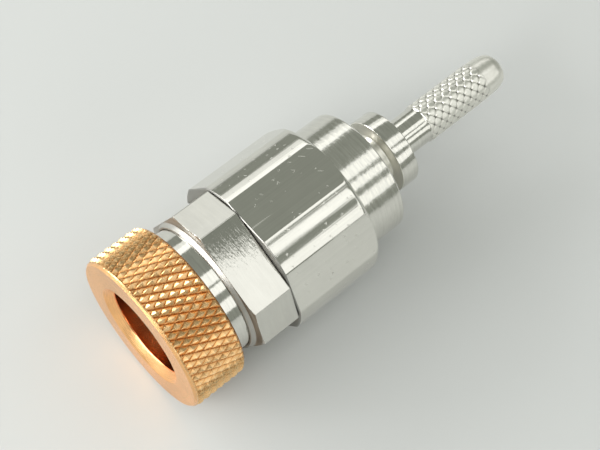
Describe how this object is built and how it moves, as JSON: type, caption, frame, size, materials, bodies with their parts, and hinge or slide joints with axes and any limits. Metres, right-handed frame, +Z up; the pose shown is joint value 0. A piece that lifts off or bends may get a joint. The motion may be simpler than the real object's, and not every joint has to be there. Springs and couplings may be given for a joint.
{
  "type": "quick release hose coupling socket",
  "caption": "Plated hose coupling socket lying on its side: knurled copper-coloured release ring that slides back, bevelled nut, hex body with round collar, and a slim knurled hose tail.",
  "frame": {"origin": "centre of the bounding box on the ground plane, the coupling lying on its side", "axes": "+X along the coupling's axis from the knurled ring to the hose tail, +Z up through a flat of the hex body"},
  "size_m": [0.061, 0.022, 0.022],
  "materials": {
    "copper_ring": "copper-coloured plating over a diamond knurl, satin",
    "nickel_plate": "bright nickel plating, turned",
    "polished_nickel": "bright nickel plating, polished, small nicks",
    "brushed_nickel": "nickel plating over milled flats, satin",
    "spring_steel": "stainless spring steel",
    "ball_steel": "polished hardened steel",
    "brass": "bare turned brass",
    "seal_rubber": "black nitrile rubber",
    "fibre_gasket": "red fibre"
  },
  "bodies": {
    "housing": {"retaining_nut": "brushed_nickel", "hex_body": "polished_nickel", "socket_tube": "nickel_plate", "plug_seal": "seal_rubber", "body_seal": "seal_rubber", "sleeve_spring": "spring_steel", "valve_spring": "spring_steel", "valve_guide": "brass", "tail_gasket": "fibre_gasket", "hose_tail": "polished_nickel"},
    "washer_carrier": {"spring_washer": "spring_steel"},
    "release_ring": {"grip_ring": "copper_ring", "release_sleeve": "nickel_plate", "sleeve_snap_ring": "spring_steel"},
    "valve": {"valve_poppet": "brass", "poppet_seal": "seal_rubber"},
    "ball_1": {"locking_ball_1": "ball_steel"},
    "ball_2": {"locking_ball_2": "ball_steel"},
    "ball_3": {"locking_ball_3": "ball_steel"},
    "ball_4": {"locking_ball_4": "ball_steel"},
    "ball_5": {"locking_ball_5": "ball_steel"},
    "ball_6": {"locking_ball_6": "ball_steel"}
  },
  "joints": [
    {"name": "sleeve_slide", "type": "slide", "parent": "housing", "child": "washer_carrier", "axis": [1, 0, 0], "range_m": [0, 0.0022], "stiffness_N_per_m": 600, "springref_m": -0.006, "deforming": ["sleeve_spring"]},
    {"name": "ring_turn", "type": "hinge", "parent": "washer_carrier", "child": "release_ring", "pos_m": [-0.0305, 0, 0.011], "axis": [1, 0, 0], "continuous": true},
    {"name": "valve_slide", "type": "slide", "parent": "housing", "child": "valve", "axis": [1, 0, 0], "range_m": [0, 0.002], "stiffness_N_per_m": 250, "springref_m": -0.004, "deforming": ["valve_spring"]},
    {"name": "ball_1_slide", "type": "slide", "parent": "housing", "child": "ball_1", "axis": [0, 0, 1], "range_m": [0, 0.00046]},
    {"name": "ball_2_slide", "type": "slide", "parent": "housing", "child": "ball_2", "axis": [0, -0.866, 0.5], "range_m": [0, 0.00046]},
    {"name": "ball_3_slide", "type": "slide", "parent": "housing", "child": "ball_3", "axis": [0, -0.866, -0.5], "range_m": [0, 0.00046]},
    {"name": "ball_4_slide", "type": "slide", "parent": "housing", "child": "ball_4", "axis": [0, 0, -1], "range_m": [0, 0.00046]},
    {"name": "ball_5_slide", "type": "slide", "parent": "housing", "child": "ball_5", "axis": [0, 0.866, -0.5], "range_m": [0, 0.00046]},
    {"name": "ball_6_slide", "type": "slide", "parent": "housing", "child": "ball_6", "axis": [0, 0.866, 0.5], "range_m": [0, 0.00046]}
  ],
  "couplings": [
    {"joint": "ball_1_slide", "follows": "sleeve_slide", "ratio": 0.20455},
    {"joint": "ball_2_slide", "follows": "sleeve_slide", "ratio": 0.20455},
    {"joint": "ball_3_slide", "follows": "sleeve_slide", "ratio": 0.20455},
    {"joint": "ball_4_slide", "follows": "sleeve_slide", "ratio": 0.20455},
    {"joint": "ball_5_slide", "follows": "sleeve_slide", "ratio": 0.20455},
    {"joint": "ball_6_slide", "follows": "sleeve_slide", "ratio": 0.20455}
  ]
}
